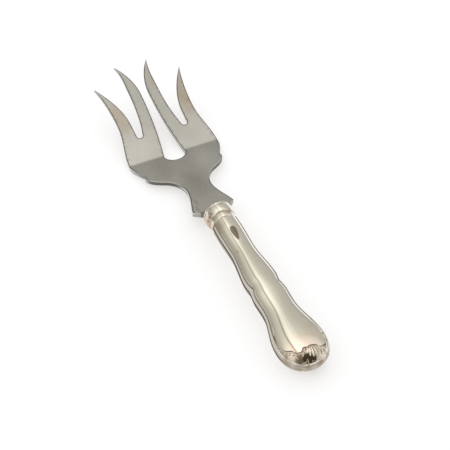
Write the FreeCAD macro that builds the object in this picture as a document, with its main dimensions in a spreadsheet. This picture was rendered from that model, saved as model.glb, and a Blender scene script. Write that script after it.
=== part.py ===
import FreeCAD, Part
import math
import os

import Sketcher
from FreeCAD import Placement, Rotation, Vector

# Cake fork: a stamped steel head whose tang is cemented into a hollow silver handle.
# It is built lying along Y, with the handle's end at zero and the side seam at height zero,
# and is then tipped into the pose in which it rests on a table, on its crease and its handle.

# Driving dimensions in millimetres and degrees, except the fullness values, which are exponents.
# Places on the handle are distances from its end, places on the head are distances from the collar.
SIZES = {
    # Handle in plan: where it is widest and narrowest, and how wide
    "handle_length": 82.0,
    "end_at": 12.5,
    "end_width": 21.9,
    "grip_at": 31.0,
    "grip_width": 15.0,
    "knuckle_at": 38.0,
    "knuckle_width": 15.4,
    "cusp_at": 43.5,
    "cusp_width": 14.3,
    "swell_at": 46.5,
    "swell_width": 14.9,
    "waist_at": 64.0,
    "waist_width": 11.4,
    "shoulder_at": 75.5,
    "shoulder_width": 12.0,
    "throat_width": 11.6,
    # Handle seen from the side
    "end_depth": 10.6,
    "grip_depth": 9.8,
    "swell_depth": 10.4,
    "waist_depth": 10.0,
    "throat_depth": 11.4,
    "end_plan_fullness": 2.1,
    "end_side_fullness": 2.0,
    "section_fullness": 2.2,
    "shell_wall": 0.6,
    "core_sides": 12,
    # Thread border: two beads on each edge of each half, ended by a groove and the raised panel
    "bead_height": 0.3,
    "outer_bead_angle": 22.0,
    "inner_bead_angle": 35.0,
    "panel_rise": 0.25,
    # Shell and ribs at the handle's end, in plan
    "shell_foot_x": 0.9,
    "shell_foot_y": 2.6,
    "shell_left": -3.1,
    "shell_right": 7.4,
    "shell_crown_y": 8.0,
    "shell_drop": 1.3,
    "flute_count": 7,
    "flute_radius": 0.85,
    "rib_radius": 0.5,
    "bar_sink": 0.3,
    "border_x": 8.2,
    "border_bow_x": 9.0,
    "border_bow_y": 9.0,
    "border_run": 2.5,
    # Collar and its slotted cap
    "collar_length": 8.3,
    "collar_radius": 6.2,
    "collar_wall": 0.9,
    "rim_radius": 6.85,
    "rim_width": 5.6,
    "crown_width": 2.6,
    "cap_thickness": 1.0,
    "cap_recess": 0.2,
    # Head seen from the side: heights are from the handle's axis to the middle of the plate
    "neck_thickness": 2.6,
    "palm_thickness": 1.9,
    "tip_thickness": 1.3,
    "neck_depth": 0.5,
    "crease_depth": 7.05,
    "tip_height": 8.4,
    "bend_radius": 2.0,
    # Head in plan
    "base_width": 10.8,
    "fishtail_at": 3.6,
    "fishtail_width": 20.2,
    "neck_at": 19.0,
    "neck_width": 12.5,
    "elbow_at": 29.7,
    "elbow_width": 24.8,
    "heel_at": 36.9,
    "heel_width": 39.4,
    "notch_at": 38.6,
    "notch_width": 38.9,
    "crease_at": 49.2,
    "crease_width": 46.2,
    "flank_at": 71.2,
    "flank_width": 39.9,
    "outer_tip_at": 95.2,
    "outer_tip_width": 46.2,
    "gap_flank_at": 70.2,
    "gap_flank_width": 26.8,
    "gap_root_at": 62.3,
    "gap_centre": 11.75,
    "gap_width": 3.1,
    "inner_flank_at": 87.7,
    "inner_flank_width": 15.2,
    "inner_tip_at": 104.7,
    "inner_tip_width": 17.9,
    "throat_at": 85.7,
    "slot_throat": 3.8,
    "slot_at": 48.6,
    "slot_width": 10.6,
    "slot_root_at": 43.9,
    "point_width": 0.6,
    # Tang
    "tang_length": 48.0,
    "tang_width": 8.0,
    "tang_end_width": 4.0,
    "tang_thickness": 2.2,
    "tang_overlap": 0.6,
}

PARTS_FOLDER = "parts"

doc = FreeCAD.newDocument("cake_fork")
sheet = doc.addObject("Spreadsheet::Sheet", "sizes")
for row, (alias, value) in enumerate(SIZES.items(), start=1):
    sheet.set("A%d" % row, alias)
    sheet.set("B%d" % row, str(value))
    sheet.setAlias("B%d" % row, alias)
doc.recompute()


def size(alias):
    """The number that the sheet holds under this alias."""
    return float(sheet.get(alias))


# Helpers for sketches

def origin_plane(body, role):
    return next(item for item in body.Origin.OriginFeatures if item.Role == role)


def new_sketch(body, name, role):
    sketch = body.newObject("Sketcher::SketchObject", name)
    sketch.AttachmentSupport = [(origin_plane(body, role), "")]
    sketch.MapMode = "FlatFace"
    return sketch


def add_loop(sketch, edges):
    """Put a closed chain of curves in the sketch, each end joined to the next start."""
    joints = []
    for edge in edges:
        number = sketch.addGeometry(edge, False)
        start = edge.value(edge.FirstParameter)
        # A sketch keeps its arcs anticlockwise, so a clockwise one has its ends exchanged
        kept = sketch.getPoint(number, 1).distanceToPoint(start) < 1e-6
        joints.append((number, (1, 2) if kept else (2, 1)))
    for (number, ends), (following, next_ends) in zip(joints, joints[1:] + joints[:1]):
        sketch.addConstraint(Sketcher.Constraint("Coincident", number, ends[1], following, next_ends[0]))


def lock(sketch, geometry, end, across, along):
    """Tie one end of a curve to two expressions, measured from the sketch's origin."""
    point = sketch.getPoint(geometry, end)
    for kind, place, expression in (("DistanceX", point.x, across), ("DistanceY", point.y, along)):
        index = sketch.addConstraint(Sketcher.Constraint(kind, -1, 1, geometry, end, place))
        name = "%s_%d" % (kind, geometry)
        sketch.renameConstraint(index, name)
        sketch.setExpression("Constraints." + name, expression)


def line(start, stop):
    return Part.LineSegment(Vector(*start, 0), Vector(*stop, 0))


def arc(start, middle, stop):
    return Part.Arc(Vector(*start, 0), Vector(*middle, 0), Vector(*stop, 0))


def flow(start, start_slope, stop, stop_slope):
    """A cubic curve that leaves and arrives along the two slopes, each given as (across, along)."""
    begin = Vector(*start, 0)
    finish = Vector(*stop, 0)
    reach = (finish - begin).Length / 3
    leave = Vector(*start_slope, 0).normalize() * reach
    arrive = Vector(*stop_slope, 0).normalize() * reach
    bezier = Part.BezierCurve()
    bezier.setPoles([begin, begin + leave, finish - arrive, finish])
    return bezier.toBSpline()


# Shared places along the fork

COLLAR_FRONT = size("handle_length") + size("collar_length")
COLLAR_FRONT_CELL = "(sizes.handle_length + sizes.collar_length)"
CAP_FRONT_CELL = "(sizes.handle_length + sizes.collar_length - sizes.cap_recess)"


# Shape of the handle: a superellipse whose width and depth change along the length

def eased(stops, place):
    """Pass through each stop with no slope there, so that each is a waist or a swell."""
    if place <= stops[0][0]:
        return stops[0][1]
    for (before, low), (after, high) in zip(stops, stops[1:]):
        if place <= after:
            share = (place - before) / (after - before)
            return low + (high - low) * (1 - math.cos(math.pi * share)) / 2
    return stops[-1][1]


def end_rounding(place, fullness):
    """How far the rounded end has opened at this place, from 0 at the tip to 1."""
    if place >= size("end_at"):
        return 1.0
    remaining = 1 - place / size("end_at")
    return (1 - remaining ** fullness) ** (1 / fullness)


WIDTH_STOPS = [
    (size("end_at"), size("end_width") / 2),
    (size("grip_at"), size("grip_width") / 2),
    (size("knuckle_at"), size("knuckle_width") / 2),
    (size("cusp_at"), size("cusp_width") / 2),
    (size("swell_at"), size("swell_width") / 2),
    (size("waist_at"), size("waist_width") / 2),
    (size("shoulder_at"), size("shoulder_width") / 2),
    (size("handle_length"), size("throat_width") / 2),
]
DEPTH_STOPS = [
    (size("end_at"), size("end_depth") / 2),
    (size("grip_at"), size("grip_depth") / 2),
    (size("swell_at"), size("swell_depth") / 2),
    (size("waist_at"), size("waist_depth") / 2),
    (size("handle_length"), size("throat_depth") / 2),
]


def half_width(place):
    return eased(WIDTH_STOPS, place) * end_rounding(place, size("end_plan_fullness"))


def half_depth(place):
    return eased(DEPTH_STOPS, place) * end_rounding(place, size("end_side_fullness"))


def hull_point(place, degrees, inset=0.0):
    """A point of the handle's section, at an angle from the right-hand seam."""
    power = 2 / size("section_fullness")
    cosine = math.cos(math.radians(degrees))
    sine = math.sin(math.radians(degrees))
    across = (half_width(place) - inset) * math.copysign(abs(cosine) ** power, cosine)
    height = (half_depth(place) - inset) * math.copysign(abs(sine) ** power, sine)
    return Vector(across, place, height)


def proud_point(place, degrees, height):
    """A point raised off the section, less where the end closes in."""
    step = 1.0
    run = hull_point(place, degrees + step) - hull_point(place, degrees - step)
    outward = Vector(run.z, 0, -run.x).normalize()
    closing = min(1.0, 3 * half_width(place) / size("end_width"))
    return hull_point(place, degrees) + outward * height * closing


def smooth_edge(points):
    """One Bezier curve through the points, with the same even spacing in every section."""
    curve = Part.BezierCurve()
    last = len(points) - 1
    curve.interpolate([[point] for point in points], [index / last for index in range(last + 1)])
    return curve.toShape()


def bead(place, start, stop):
    """A fine thread of the border, struck with a crest line between two grooves."""
    crest = proud_point(place, (start + stop) / 2, size("bead_height"))
    return [
        Part.LineSegment(hull_point(place, start), crest).toShape(),
        Part.LineSegment(crest, hull_point(place, stop)).toShape(),
    ]


def panel(place, start, stop):
    """The smooth raised field between the two thread borders."""
    steps = 4
    points = [hull_point(place, start)]
    for index in range(1, steps):
        degrees = start + (stop - start) * index / steps
        points.append(proud_point(place, degrees, size("panel_rise")))
    points.append(hull_point(place, stop))
    return smooth_edge(points)


def threaded_section(place):
    """The outside of both halves: on each, two beads, the panel and two beads."""
    outer = size("outer_bead_angle")
    inner = size("inner_bead_angle")
    edges = []
    for turn in (0, 180):
        edges += bead(place, turn, turn + outer)
        edges += bead(place, turn + outer, turn + inner)
        edges.append(panel(place, turn + inner, turn + 180 - inner))
        edges += bead(place, turn + 180 - inner, turn + 180 - outer)
        edges += bead(place, turn + 180 - outer, turn + 180)
    return Part.Wire(edges)


def core_section(place):
    """The hidden hollow, one wall in from the outside, with flats instead of curves."""
    sides = int(size("core_sides"))
    turns = [360 * index / sides for index in range(sides + 1)]
    return Part.makePolygon([hull_point(place, turn, size("shell_wall")) for turn in turns])


def stations(stops, longest):
    """Places for the sections: at each stop, and evenly between them with no step over the longest."""
    places = [stops[0]]
    for before, after in zip(stops, stops[1:]):
        steps = math.ceil((after - before) / longest)
        for index in range(1, steps + 1):
            places.append(before + (after - before) * index / steps)
    return places


def closing_stations(first):
    """Places that crowd towards the rounded end, where the section shrinks."""
    count = 4
    reach = size("end_at")
    opening = math.acos(1 - first / reach)
    places = []
    for index in range(count):
        angle = opening + (math.pi / 2 - opening) * index / count
        places.append(reach * (1 - math.cos(angle)))
    return places


END_TIP = 0.05
LOWER_STEP = 3.1
UPPER_STEP = 3.9
INSIDE_STEP = 9.0
lower_places = closing_stations(END_TIP) + stations(
    [size("end_at"), size("grip_at"), size("knuckle_at"), size("cusp_at")], LOWER_STEP
)
upper_places = stations(
    [size("cusp_at"), size("swell_at"), size("waist_at"), size("shoulder_at"), size("handle_length")],
    UPPER_STEP,
)
core_places = closing_stations(2 * size("shell_wall")) + stations(
    [size("end_at"), size("grip_at"), size("swell_at"), size("waist_at"), size("handle_length")], INSIDE_STEP
)


def add_solid(name, shape):
    item = doc.addObject("Part::Feature", name)
    item.Shape = shape
    return item


lower_hull = add_solid("lower_hull", Part.makeLoft([threaded_section(y) for y in lower_places], True, True))
upper_hull = add_solid("upper_hull", Part.makeLoft([threaded_section(y) for y in upper_places], True, True))
handle_core = add_solid("handle_core", Part.makeLoft([core_section(y) for y in core_places], True, True))


# Shell and ribs on the handle's end: round bars that follow the surface

def bar_centre(across, place):
    """A point just under the panel's surface, above a point of the plan."""
    fullness = size("section_fullness")
    share = min(abs(across) / half_width(place), 1.0)
    height = half_depth(place) * (1 - share ** fullness) ** (1 / fullness)
    return Vector(across, place, height + size("panel_rise") / 2 - size("bar_sink"))


def ring_about(centre, direction, radius):
    """An octagon across a bar."""
    along = Vector(direction).normalize()
    side = along.cross(Vector(0, 0, 1)).normalize()
    up = side.cross(along)
    points = []
    for index in range(9):
        angle = math.radians(45 * index)
        points.append(centre + side * (radius * math.cos(angle)) + up * (radius * math.sin(angle)))
    return Part.makePolygon(points)


def ridge(plan_points, radii):
    """A round bar along the surface, with its own radius at each point."""
    spine = [bar_centre(across, place) for across, place in plan_points]
    rings = []
    for index, (centre, radius) in enumerate(zip(spine, radii)):
        before = spine[max(index - 1, 0)]
        after = spine[min(index + 1, len(spine) - 1)]
        rings.append(ring_about(centre, after - before, radius))
    return Part.makeLoft(rings, True, True)


def flute(index):
    """One flute of the shell, a tapered bar from the shell's foot to its crown."""
    count = int(size("flute_count"))
    spread = index / (count - 1)
    foot_shift = (spread - 0.5) * size("flute_radius")
    head_x = size("shell_left") + (size("shell_right") - size("shell_left")) * spread
    head_y = size("shell_crown_y") - size("shell_drop") * (2 * spread - 1) ** 2
    points = []
    radii = []
    steps = 4
    for step in range(steps + 1):
        share = step / steps
        points.append((
            size("shell_foot_x") + foot_shift + (head_x - size("shell_foot_x") - foot_shift) * share,
            size("shell_foot_y") + (head_y - size("shell_foot_y")) * share,
        ))
        radii.append(size("flute_radius") * (0.4 + 0.6 * share ** 0.7) * (1 if step < steps else 0.5))
    return ridge(points, radii)


def bowed(start, bow, stop, steps=5):
    """Plan points along a parabola that is pulled towards the bow point."""
    points = []
    for step in range(steps + 1):
        share = step / steps
        weights = ((1 - share) ** 2, 2 * share * (1 - share), share ** 2)
        points.append(tuple(
            weights[0] * start[axis] + weights[1] * bow[axis] + weights[2] * stop[axis]
            for axis in (0, 1)
        ))
    return points


def rib(start, bow, stop):
    points = bowed(start, bow, stop)
    last = len(points) - 1
    radii = [size("rib_radius") * (0.6 if index in (0, last) else 1) for index in range(last + 1)]
    return ridge(points, radii)


border_top = size("end_at") + size("border_run")
cusp = (size("shell_left") - 2.9, size("shell_crown_y") + 0.4)
left_scroll = (size("shell_left"), size("shell_crown_y") - 0.8)
lower_scroll = (size("shell_left") + 1, size("shell_foot_y"))
ornament = [flute(index) for index in range(int(size("flute_count")))]
ornament += [
    rib((-size("border_x"), border_top), (-size("border_bow_x"), size("border_bow_y")), cusp),
    rib(cusp, (size("shell_left") - 1, size("shell_crown_y") - 2.4), left_scroll),
    rib(cusp, (cusp[0] + 1.5, size("shell_foot_y") + 2), lower_scroll),
    rib((size("border_x"), border_top), (size("border_bow_x"), size("border_bow_y")),
        (size("shell_right") - 1, size("shell_crown_y") - 2.4)),
]


# The upper half: the outside above the seam, with its ornament, less the hollow

def boolean(kind, name, base, tool):
    item = doc.addObject(kind, name)
    item.Base = base
    item.Tool = tool
    return item


hull = boolean("Part::Fuse", "hull", lower_hull, upper_hull)
upper_space = doc.addObject("Part::Box", "upper_space")
upper_space.setExpression("Length", "sizes.end_width * 2")
upper_space.setExpression("Width", "sizes.handle_length")
upper_space.setExpression("Height", "sizes.end_depth * 2")
upper_space.setExpression("Placement.Base.x", "-sizes.end_width")
struck = boolean("Part::Common", "struck_outside", hull, upper_space)
bars = [add_solid("bar_%d" % index, bar) for index, bar in enumerate(ornament)]
ornamented = doc.addObject("Part::MultiFuse", "ornamented_outside")
ornamented.Shapes = [struck] + bars
handle_front = boolean("Part::Cut", "handle_front", ornamented, handle_core)
handle_front.Label = "handle_front"
doc.recompute()

# The lower half is struck in the same die and turned over about the fork's axis
handle_back = add_solid("handle_back", handle_front.Shape)
handle_back.Label = "handle_back"


# Head: a plate bent at the crease, cut to the outline, with a tang behind it

head = doc.addObject("PartDesign::Body", "fork_head")
head.Label = "fork_head"

neck_y = COLLAR_FRONT
crease_y = COLLAR_FRONT + size("crease_at")
tip_y = COLLAR_FRONT + size("inner_tip_at") + size("tip_thickness")
side_corners = [
    (neck_y, -size("neck_depth") + size("neck_thickness") / 2),
    (crease_y, -size("crease_depth") + size("palm_thickness") / 2),
    (tip_y, size("tip_height") + size("tip_thickness") / 2),
    (tip_y, size("tip_height") - size("tip_thickness") / 2),
    (crease_y, -size("crease_depth") - size("palm_thickness") / 2),
    (neck_y, -size("neck_depth") - size("neck_thickness") / 2),
]
side_cells = [
    (COLLAR_FRONT_CELL, "-sizes.neck_depth + sizes.neck_thickness / 2"),
    (COLLAR_FRONT_CELL + " + sizes.crease_at", "-sizes.crease_depth + sizes.palm_thickness / 2"),
    (COLLAR_FRONT_CELL + " + sizes.inner_tip_at + sizes.tip_thickness",
     "sizes.tip_height + sizes.tip_thickness / 2"),
    (COLLAR_FRONT_CELL + " + sizes.inner_tip_at + sizes.tip_thickness",
     "sizes.tip_height - sizes.tip_thickness / 2"),
    (COLLAR_FRONT_CELL + " + sizes.crease_at", "-sizes.crease_depth - sizes.palm_thickness / 2"),
    (COLLAR_FRONT_CELL, "-sizes.neck_depth - sizes.neck_thickness / 2"),
]
side = new_sketch(head, "side_profile", "YZ_Plane")
side_lines = [line(start, stop) for start, stop in zip(side_corners, side_corners[1:] + side_corners[:1])]
add_loop(side, side_lines)
for index, (along, height) in enumerate(side_cells):
    lock(side, index, 1, along, height)
plate = head.newObject("PartDesign::Pad", "plate")
plate.Profile = side
plate.SideType = "Symmetric"
plate.setExpression("Length", "sizes.crease_width * 1.5")
doc.recompute()


def edges_where(shape, test):
    return ["Edge%d" % (index + 1) for index, edge in enumerate(shape.Edges) if test(edge)]


def runs_across_crease(edge):
    box = edge.BoundBox
    return box.YLength < 0.01 and abs(box.YMin - crease_y) < 0.01 and box.XLength > 1


bend = head.newObject("PartDesign::Fillet", "bend")
bend.Base = (plate, edges_where(plate.Shape, runs_across_crease))
bend.setExpression("Radius", "sizes.bend_radius")


def head_point(width_alias, place_alias, side_sign):
    return (side_sign * size(width_alias) / 2, COLLAR_FRONT + size(place_alias))


def head_outline():
    """The right half of the outline, from the collar round the tines to the central slot."""
    base = (size("base_width") / 2, COLLAR_FRONT)
    fishtail = head_point("fishtail_width", "fishtail_at", 1)
    neck = head_point("neck_width", "neck_at", 1)
    elbow = head_point("elbow_width", "elbow_at", 1)
    heel = head_point("heel_width", "heel_at", 1)
    notch = head_point("notch_width", "notch_at", 1)
    crease = head_point("crease_width", "crease_at", 1)
    flank = head_point("flank_width", "flank_at", 1)
    outer_tip = head_point("outer_tip_width", "outer_tip_at", 1)
    outer_point = (outer_tip[0] - size("point_width"), outer_tip[1] + size("point_width") / 2)
    gap_flank = head_point("gap_flank_width", "gap_flank_at", 1)
    gap_half = size("gap_width") / 2
    gap_root = (size("gap_centre"), COLLAR_FRONT + size("gap_root_at"))
    gap_right = (gap_root[0] + gap_half, gap_root[1] + gap_half)
    gap_left = (gap_root[0] - gap_half, gap_root[1] + gap_half)
    inner_flank = head_point("inner_flank_width", "inner_flank_at", 1)
    inner_tip = head_point("inner_tip_width", "inner_tip_at", 1)
    inner_point = (inner_tip[0] - size("point_width"), inner_tip[1])
    throat = head_point("slot_throat", "throat_at", 1)
    slot = head_point("slot_width", "slot_at", 1)
    return [
        line(base, fishtail),
        flow(fishtail, (-0.2, 1), neck, (0, 1)),
        flow(neck, (0, 1), elbow, (0.88, 0.47)),
        flow(elbow, (0.88, 0.47), heel, (0.1, 1)),
        line(heel, notch),
        flow(notch, (0.55, 1), crease, (0, 1)),
        flow(crease, (0, 1), flank, (0, 1)),
        flow(flank, (0, 1), outer_tip, (0.27, 1)),
        line(outer_tip, outer_point),
        flow(outer_point, (-0.7, -1), gap_flank, (0, -1)),
        flow(gap_flank, (0, -1), gap_right, (0, -1)),
        arc(gap_right, gap_root, gap_left),
        flow(gap_left, (-0.26, 1), inner_flank, (0, 1)),
        flow(inner_flank, (0, 1), inner_tip, (0.32, 1)),
        line(inner_tip, inner_point),
        flow(inner_point, (-0.85, -1), throat, (0, -1)),
        flow(throat, (0, -1), slot, (0.2, -1)),
    ]


def mirrored(curve):
    """The curve on the other side, run backwards so that the outline stays one loop."""
    twin = curve.copy()
    twin.mirror(Vector(0, 0, 0), Vector(0, 1, 0))
    if isinstance(twin, Part.LineSegment):
        return Part.LineSegment(twin.EndPoint, twin.StartPoint)
    if isinstance(twin, Part.ArcOfCircle):
        middle = twin.value((twin.FirstParameter + twin.LastParameter) / 2)
        return Part.Arc(twin.EndPoint, middle, twin.StartPoint)
    twin.reverse()
    return twin


right_side = head_outline()
left_side = [mirrored(curve) for curve in reversed(right_side)]
slot_corner = head_point("slot_width", "slot_at", 1)
slot_bottom = arc(slot_corner, (0, COLLAR_FRONT + size("slot_root_at")), (-slot_corner[0], slot_corner[1]))
base_line = line((-size("base_width") / 2, COLLAR_FRONT), (size("base_width") / 2, COLLAR_FRONT))

outline = new_sketch(head, "outline", "XY_Plane")
add_loop(outline, right_side + [slot_bottom] + left_side + [base_line])
margin = size("crease_width")
frame_corners = [
    (-margin, COLLAR_FRONT - margin), (margin, COLLAR_FRONT - margin),
    (margin, tip_y + margin), (-margin, tip_y + margin),
]
add_loop(outline, [line(a, b) for a, b in zip(frame_corners, frame_corners[1:] + frame_corners[:1])])
for index, (width, place) in enumerate([
        ("base_width", None), ("fishtail_width", "fishtail_at"), ("neck_width", "neck_at"),
        ("elbow_width", "elbow_at"), ("heel_width", "heel_at"), ("notch_width", "notch_at"),
        ("crease_width", "crease_at"), ("flank_width", "flank_at")]):
    along = COLLAR_FRONT_CELL if place is None else "%s + sizes.%s" % (COLLAR_FRONT_CELL, place)
    lock(outline, index, 1, "sizes.%s / 2" % width, along)

stamping = head.newObject("PartDesign::Pocket", "stamping")
stamping.Profile = outline
stamping.SideType = "Symmetric"
stamping.Type = "ThroughAll"
doc.recompute()


tang = new_sketch(head, "tang_profile", "XY_Plane")
tang.setExpression("AttachmentOffset.Base.z", "-sizes.neck_depth")
tang_back = COLLAR_FRONT - size("tang_length")
tang_front = COLLAR_FRONT + size("tang_overlap")
tang_corners = [
    (-size("tang_end_width") / 2, tang_back), (size("tang_end_width") / 2, tang_back),
    (size("tang_width") / 2, COLLAR_FRONT), (size("tang_width") / 2, tang_front),
    (-size("tang_width") / 2, tang_front), (-size("tang_width") / 2, COLLAR_FRONT),
]
add_loop(tang, [line(a, b) for a, b in zip(tang_corners, tang_corners[1:] + tang_corners[:1])])
tang_bar = head.newObject("PartDesign::Pad", "tang_bar")
tang_bar.Profile = tang
tang_bar.SideType = "Symmetric"
tang_bar.setExpression("Length", "sizes.tang_thickness")
doc.recompute()


# Collar: a turned ring with a bead at its mouth, and the slotted cap inside it

def turned(label, profile):
    """A body of revolution about the fork's axis, from edges given as (place, radius)."""
    body = doc.addObject("PartDesign::Body", label)
    body.Label = label
    sketch = new_sketch(body, label + "_profile", "YZ_Plane")
    add_loop(sketch, profile)
    spin = body.newObject("PartDesign::Revolution", label + "_turning")
    spin.Profile = sketch
    spin.ReferenceAxis = (sketch, ["H_Axis"])
    spin.Angle = 360
    return body, sketch


bore = size("collar_radius") - size("collar_wall")
collar_back = size("handle_length")
bead_back = COLLAR_FRONT - size("rim_width")
step = (size("rim_radius") - size("collar_radius")) / 2
foot_radius = size("throat_width") / 2 + size("bead_height")
bead_foot = size("collar_radius") + step
crown_back = COLLAR_FRONT - (size("rim_width") + size("crown_width")) / 2
crown_front = crown_back + size("crown_width")
collar_profile = [
    line((collar_back, bore), (collar_back, foot_radius)),
    line((collar_back, foot_radius), (bead_back - step, size("collar_radius"))),
    line((bead_back - step, size("collar_radius")), (bead_back, bead_foot)),
    line((bead_back, bead_foot), (crown_back, size("rim_radius"))),
    line((crown_back, size("rim_radius")), (crown_front, size("rim_radius"))),
    line((crown_front, size("rim_radius")), (COLLAR_FRONT, bead_foot)),
    line((COLLAR_FRONT, bead_foot), (COLLAR_FRONT, bore)),
    line((COLLAR_FRONT, bore), (collar_back, bore)),
]
collar, collar_sketch = turned("collar", collar_profile)
lock(collar_sketch, 0, 1, "sizes.handle_length", "sizes.collar_radius - sizes.collar_wall")
lock(collar_sketch, len(collar_profile) - 1, 1, "sizes.handle_length + sizes.collar_length",
     "sizes.collar_radius - sizes.collar_wall")

cap = doc.addObject("PartDesign::Body", "collar_cap")
cap.Label = "collar_cap"
disc_sketch = new_sketch(cap, "disc_outline", "XZ_Plane")
disc_sketch.addGeometry(Part.Circle(Vector(0, 0, 0), Vector(0, 0, 1), bore), False)
disc_sketch.addConstraint(Sketcher.Constraint("Coincident", 0, 3, -1, 1))
disc_sketch.addConstraint(Sketcher.Constraint("Radius", 0, bore))
disc_sketch.setExpression("Constraints[1]", "sizes.collar_radius - sizes.collar_wall")
disc_sketch.setExpression("AttachmentOffset.Base.z", "-%s" % CAP_FRONT_CELL)
disc = cap.newObject("PartDesign::Pad", "disc")
disc.Profile = disc_sketch
disc.setExpression("Length", "sizes.cap_thickness")
slot_half = size("tang_width") / 2
slot_low = -size("neck_depth") - size("tang_thickness") / 2
slot_high = -size("neck_depth") + size("tang_thickness") / 2
slot_corners = [
    (-slot_half, slot_low), (slot_half, slot_low), (slot_half, slot_high), (-slot_half, slot_high),
]
slot_sketch = new_sketch(cap, "slot_outline", "XZ_Plane")
slot_sketch.setExpression("AttachmentOffset.Base.z", "-%s" % CAP_FRONT_CELL)
add_loop(slot_sketch, [line(a, b) for a, b in zip(slot_corners, slot_corners[1:] + slot_corners[:1])])
lock(slot_sketch, 0, 1, "-sizes.tang_width / 2", "-sizes.neck_depth - sizes.tang_thickness / 2")
lock(slot_sketch, 2, 1, "sizes.tang_width / 2", "-sizes.neck_depth + sizes.tang_thickness / 2")
tang_slot = cap.newObject("PartDesign::Pocket", "tang_slot")
tang_slot.Profile = slot_sketch
tang_slot.SideType = "Symmetric"
tang_slot.Type = "ThroughAll"
doc.recompute()

# Filler: it fills the hollow and the collar up to the cap, all round the tang
plug = doc.addObject("Part::Cylinder", "collar_plug")
plug.setExpression("Radius", "sizes.collar_radius - sizes.collar_wall")
plug.setExpression("Height", "sizes.collar_length - sizes.cap_recess - sizes.cap_thickness")
plug.setExpression("Placement.Base.y", "sizes.handle_length")
plug.Placement.Rotation = Rotation(Vector(1, 0, 0), -90)
poured = boolean("Part::Fuse", "poured_filler", handle_core, plug)
tang_copy = add_solid("tang_in_filler", head.Shape)
filler = boolean("Part::Cut", "handle_filler", poured, tang_copy)
filler.Label = "handle_filler"
doc.recompute()

# Rest pose: tipped until the crease and the handle's end touch the table together
palm_fall = math.atan2(size("crease_depth") - size("neck_depth"), size("crease_at"))
tine_rise = math.atan2(size("tip_height") + size("crease_depth"), tip_y - crease_y)
bend_lift = size("bend_radius") * (1 / math.cos((palm_fall + tine_rise) / 2) - 1)
crease_low = size("crease_depth") + size("palm_thickness") / 2 - bend_lift
handle_low = size("end_depth") / 2 + size("panel_rise")
tip_angle = math.degrees(math.atan2(crease_low - handle_low, crease_y - size("end_at")))
rest_turn = Placement(Vector(0, 0, 0), Rotation(Vector(1, 0, 0), tip_angle))

subparts = [head, handle_front, handle_back, collar, cap, filler]
half_turn = Placement(Vector(0, 0, 0), Rotation(Vector(0, 1, 0), 180))
for item in subparts:
    item.Placement = rest_turn
handle_back.Placement = rest_turn.multiply(half_turn)
doc.recompute()
boxes = [item.Shape.optimalBoundingBox(False, False) for item in subparts]
lowest = min(box.ZMin for box in boxes)
middle_y = (min(box.YMin for box in boxes) + max(box.YMax for box in boxes)) / 2
rest_shift = Placement(Vector(0, -middle_y, -lowest), Rotation())
for item in subparts:
    item.Placement = rest_shift.multiply(item.Placement)
doc.recompute()

# Every object has to be sound before anything is written
for item in doc.Objects:
    if "Invalid" in item.State or "Error" in item.State:
        raise RuntimeError("%s did not build" % item.Name)
os.makedirs(PARTS_FOLDER, exist_ok=True)
for item in subparts:
    if item.Shape.isNull() or not item.Shape.isValid() or len(item.Shape.Solids) != 1:
        raise RuntimeError("%s is not one sound solid" % item.Label)
for item in subparts:
    item.Shape.exportStep(os.path.join(PARTS_FOLDER, item.Label + ".step"))
    print(item.Label, "%.1f mm3" % item.Shape.Volume)
print("tip angle %.3f degrees, middle %.3f mm, lift %.3f mm" % (tip_angle, middle_y, -lowest))
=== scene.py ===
# %% [markdown]
# A cake fork, dressed in Blender
#
# The fork has a flat steel head with four curved tines and a hollow silver handle. This lesson takes
# the solid model as a fixed frame, replaces its solids with finer surfaces of the same form, gives
# each metal its finish, and lights it on a white table. Everything is in metres, with +Y towards the
# tips.

# %% Load the frame
import math

import bmesh
import bpy
import numpy as np
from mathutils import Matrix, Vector


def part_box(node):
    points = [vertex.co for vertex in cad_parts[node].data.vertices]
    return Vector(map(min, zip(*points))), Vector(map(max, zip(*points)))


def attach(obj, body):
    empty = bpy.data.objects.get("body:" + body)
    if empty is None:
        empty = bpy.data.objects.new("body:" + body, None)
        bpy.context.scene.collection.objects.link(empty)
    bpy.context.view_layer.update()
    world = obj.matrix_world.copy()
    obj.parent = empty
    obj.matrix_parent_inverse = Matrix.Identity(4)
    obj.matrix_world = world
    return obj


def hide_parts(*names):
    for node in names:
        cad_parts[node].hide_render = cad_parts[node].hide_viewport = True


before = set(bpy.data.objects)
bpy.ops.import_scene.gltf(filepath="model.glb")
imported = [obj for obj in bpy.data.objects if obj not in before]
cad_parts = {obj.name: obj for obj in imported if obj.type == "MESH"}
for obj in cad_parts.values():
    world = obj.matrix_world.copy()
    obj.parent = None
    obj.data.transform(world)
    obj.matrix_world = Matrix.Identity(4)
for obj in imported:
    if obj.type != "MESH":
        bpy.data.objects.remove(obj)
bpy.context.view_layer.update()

MM = 0.001
scene = bpy.context.scene
print("the frame holds", sorted(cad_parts))

# %% [markdown]
# The fork rests on the crease of its head and on the fat end of its handle, so it lies tipped. Its
# shapes are easier to write down in its own axes, in millimetres, with the handle's end at zero
# along Y and the seam between its two halves at height zero. The collar's box fixes how far the
# fork was moved: along by its two ends, and upwards by the crown of its bead, its widest place.

# %% From the fork's axes to the frame
TIP_ANGLE = math.radians(1.087)
COLLAR_MIDDLE_Y = 86.15
CROWN_Y = 87.5

collar_low, collar_high = (np.array(corner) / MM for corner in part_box("collar"))
collar_middle = (collar_low + collar_high) / 2
MIDDLE_Y = COLLAR_MIDDLE_Y * math.cos(TIP_ANGLE) - collar_middle[1]
LIFT = collar_middle[2] - CROWN_Y * math.sin(TIP_ANGLE)


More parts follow.
